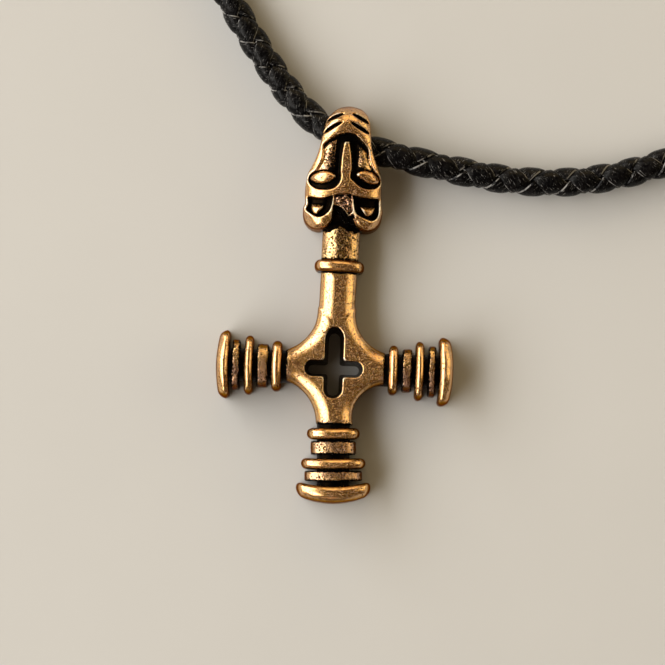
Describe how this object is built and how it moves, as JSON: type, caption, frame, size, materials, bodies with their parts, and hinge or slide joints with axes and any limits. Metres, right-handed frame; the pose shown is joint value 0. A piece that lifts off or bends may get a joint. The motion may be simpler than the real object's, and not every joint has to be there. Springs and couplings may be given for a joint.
{
  "type": "hammer amulet on braided cord",
  "caption": "Flat-backed hammer cross pendant with ringed arms and a wolf's head bail, on a braided leather neck cord closed by a barrel clasp.",
  "frame": {"origin": "on the amulet's flat back, where the middle lines of its arms cross", "axes": "+Z out of the amulet's front, +Y from the crossing to the wolf's head, +X to the right seen from the front"},
  "size_m": [0.1564, 0.2207, 0.0068],
  "materials": {
    "antique_brass": "cast brass with black patina in the recesses and polished high spots",
    "black_leather": "glossy black round braid",
    "clasp_brass": "satin antique brass"
  },
  "bodies": {
    "root": {"amulet": "antique_brass", "braided_cord": "black_leather", "clasp": "clasp_brass"}
  },
  "joints": []
}
